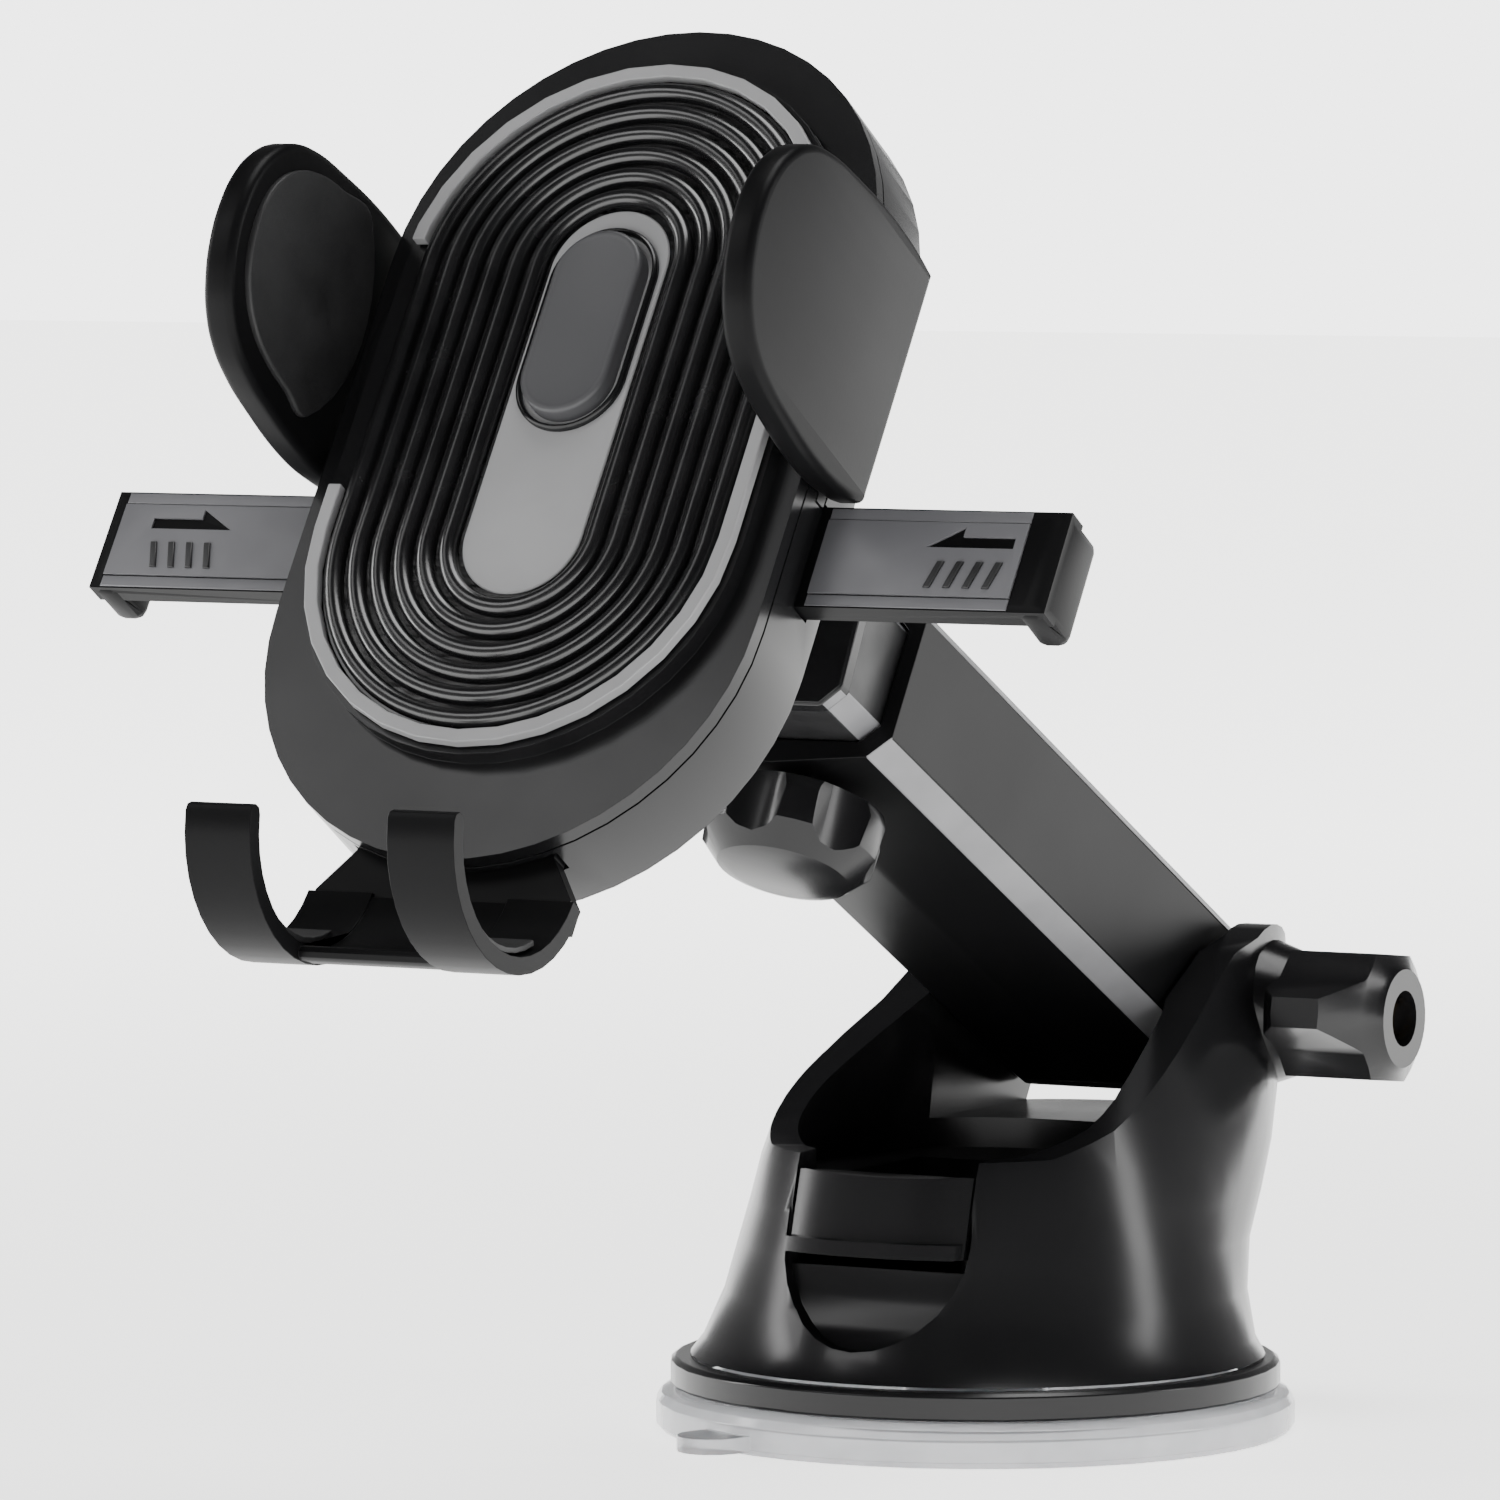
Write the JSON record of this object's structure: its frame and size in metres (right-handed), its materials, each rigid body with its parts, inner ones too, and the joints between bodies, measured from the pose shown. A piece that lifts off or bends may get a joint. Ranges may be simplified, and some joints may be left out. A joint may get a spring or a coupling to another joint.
{
  "type": "car phone mount",
  "caption": "Telescopic suction-base phone holder with a hinged arm, ball-jointed clamp head, side release bars, trigger button and sliding foot.",
  "frame": {"origin": "centre of the suction pad's flat lower face", "axes": "+Z away from the surface it sticks to, -Y towards the driver, +X towards the hinge knob"},
  "size_m": [0.1334, 0.2238, 0.1822],
  "materials": {
    "gloss_black_abs": "semi-gloss moulded",
    "grey_black_wing": "semi-gloss moulded",
    "satin_black_abs": "satin moulded",
    "soft_black_tpe": "soft touch",
    "grey_trim": "satin moulded",
    "dark_grey_button": "fine texture",
    "clear_tpu": "clear gel",
    "zinc_steel": "zinc plated",
    "white_pom": "natural acetal",
    "brass": "turned"
  },
  "bodies": {
    "base": {"suction_pad": "clear_tpu", "skirt_ring": "gloss_black_abs", "base_housing": "gloss_black_abs", "base_plate": "satin_black_abs", "base_screw_1": "zinc_steel", "base_screw_2": "zinc_steel", "base_screw_3": "zinc_steel", "base_screw_4": "zinc_steel", "pivot_bolt": "zinc_steel", "pull_rod": "zinc_steel"},
    "lever": {"suction_lever": "gloss_black_abs", "lever_pin": "zinc_steel"},
    "pivot_knob": {"pivot_knob": "gloss_black_abs", "pivot_insert": "brass"},
    "arm_outer": {"outer_tube": "gloss_black_abs", "pivot_washer_left": "white_pom", "pivot_washer_right": "white_pom", "brake_shoe": "soft_black_tpe"},
    "lock_knob": {"lock_knob": "gloss_black_abs", "lock_screw": "zinc_steel"},
    "arm_inner": {"inner_tube": "satin_black_abs", "arm_end_cap": "gloss_black_abs", "ball_stud": "satin_black_abs"},
    "ball_liner": {"ball_liner": "white_pom"},
    "socket_cup": {"socket_cup": "white_pom"},
    "head": {"back_shell": "gloss_black_abs", "front_plate": "gloss_black_abs", "ribbed_pad": "soft_black_tpe", "accent_ring_top": "grey_trim", "accent_ring_bottom": "grey_trim", "recess_panel": "grey_trim", "ball_socket": "satin_black_abs", "head_screw_1": "zinc_steel", "head_screw_2": "zinc_steel", "head_screw_3": "zinc_steel", "head_screw_4": "zinc_steel", "pinion_pin": "zinc_steel", "jaw_spring": "zinc_steel", "button_spring": "zinc_steel"},
    "lock_nut": {"lock_nut": "gloss_black_abs"},
    "clamp_left": {"rack_left": "satin_black_abs", "jaw_left": "gloss_black_abs", "jaw_pad_left": "soft_black_tpe", "release_wing_right": "grey_black_wing"},
    "clamp_right": {"rack_right": "satin_black_abs", "jaw_right": "gloss_black_abs", "jaw_pad_right": "soft_black_tpe", "release_wing_left": "grey_black_wing"},
    "pinion": {"pinion": "white_pom"},
    "trigger": {"trigger_button": "dark_grey_button"},
    "foot": {"foot_slider": "gloss_black_abs", "hook_pad_left": "soft_black_tpe", "hook_pad_right": "soft_black_tpe"}
  },
  "joints": [
    {"name": "lever_swing", "type": "hinge", "parent": "base", "child": "lever", "pos_m": [0, 0, 0.025], "axis": [-1, 0, 0], "range_deg": [0, 70]},
    {"name": "arm_hinge", "type": "hinge", "parent": "base", "child": "arm_outer", "pos_m": [0, 0.044, 0.052], "axis": [-1, 0, 0], "range_deg": [-20, 100]},
    {"name": "hinge_knob_turn", "type": "hinge", "parent": "base", "child": "pivot_knob", "pos_m": [0, 0.044, 0.052], "axis": [1, 0, 0], "continuous": true},
    {"name": "arm_extend", "type": "slide", "parent": "arm_outer", "child": "arm_inner", "axis": [0, -0.8838, 0.4679], "range_m": [-0.005, 0.045]},
    {"name": "lock_knob_turn", "type": "hinge", "parent": "arm_outer", "child": "lock_knob", "pos_m": [0, -0.04155, 0.0973], "axis": [0, -0.4679, -0.8838], "continuous": true},
    {"name": "ball_tilt", "type": "hinge", "parent": "arm_inner", "child": "ball_liner", "pos_m": [0, -0.08238, 0.11891], "axis": [1, 0, 0], "range_deg": [-16, 16]},
    {"name": "ball_swivel", "type": "hinge", "parent": "ball_liner", "child": "socket_cup", "pos_m": [0, -0.08238, 0.11891], "axis": [0, 0.5446, 0.8387], "range_deg": [-16, 16]},
    {"name": "head_turn", "type": "hinge", "parent": "socket_cup", "child": "head", "pos_m": [0, -0.08238, 0.11891], "axis": [0, -0.8387, 0.5446], "continuous": true},
    {"name": "lock_nut_turn", "type": "hinge", "parent": "head", "child": "lock_nut", "pos_m": [0, -0.08238, 0.11891], "axis": [0, -0.8387, 0.5446], "continuous": true},
    {"name": "clamp_open", "type": "slide", "parent": "head", "child": "clamp_left", "axis": [-1, 0, 0], "range_m": [0, 0.015], "stiffness_N_per_m": 60, "springref_m": -0.01, "deforming": ["jaw_spring"]},
    {"name": "clamp_follow", "type": "slide", "parent": "head", "child": "clamp_right", "axis": [1, 0, 0], "range_m": [0, 0.015]},
    {"name": "pinion_turn", "type": "hinge", "parent": "head", "child": "pinion", "pos_m": [0, -0.0971, 0.13592], "axis": [0, 0.8387, -0.5446], "range_deg": [-150, 150]},
    {"name": "trigger_press", "type": "slide", "parent": "head", "child": "trigger", "axis": [0, 0.8387, -0.5446], "range_m": [0, 0.0015], "stiffness_N_per_m": 400, "deforming": ["button_spring"]},
    {"name": "foot_slide", "type": "slide", "parent": "head", "child": "foot", "axis": [0, -0.5446, -0.8387], "range_m": [0, 0.012]}
  ],
  "couplings": [
    {"joint": "clamp_follow", "follows": "clamp_open", "ratio": 1},
    {"joint": "pinion_turn", "follows": "clamp_open", "rad_per_m": -166.67}
  ]
}
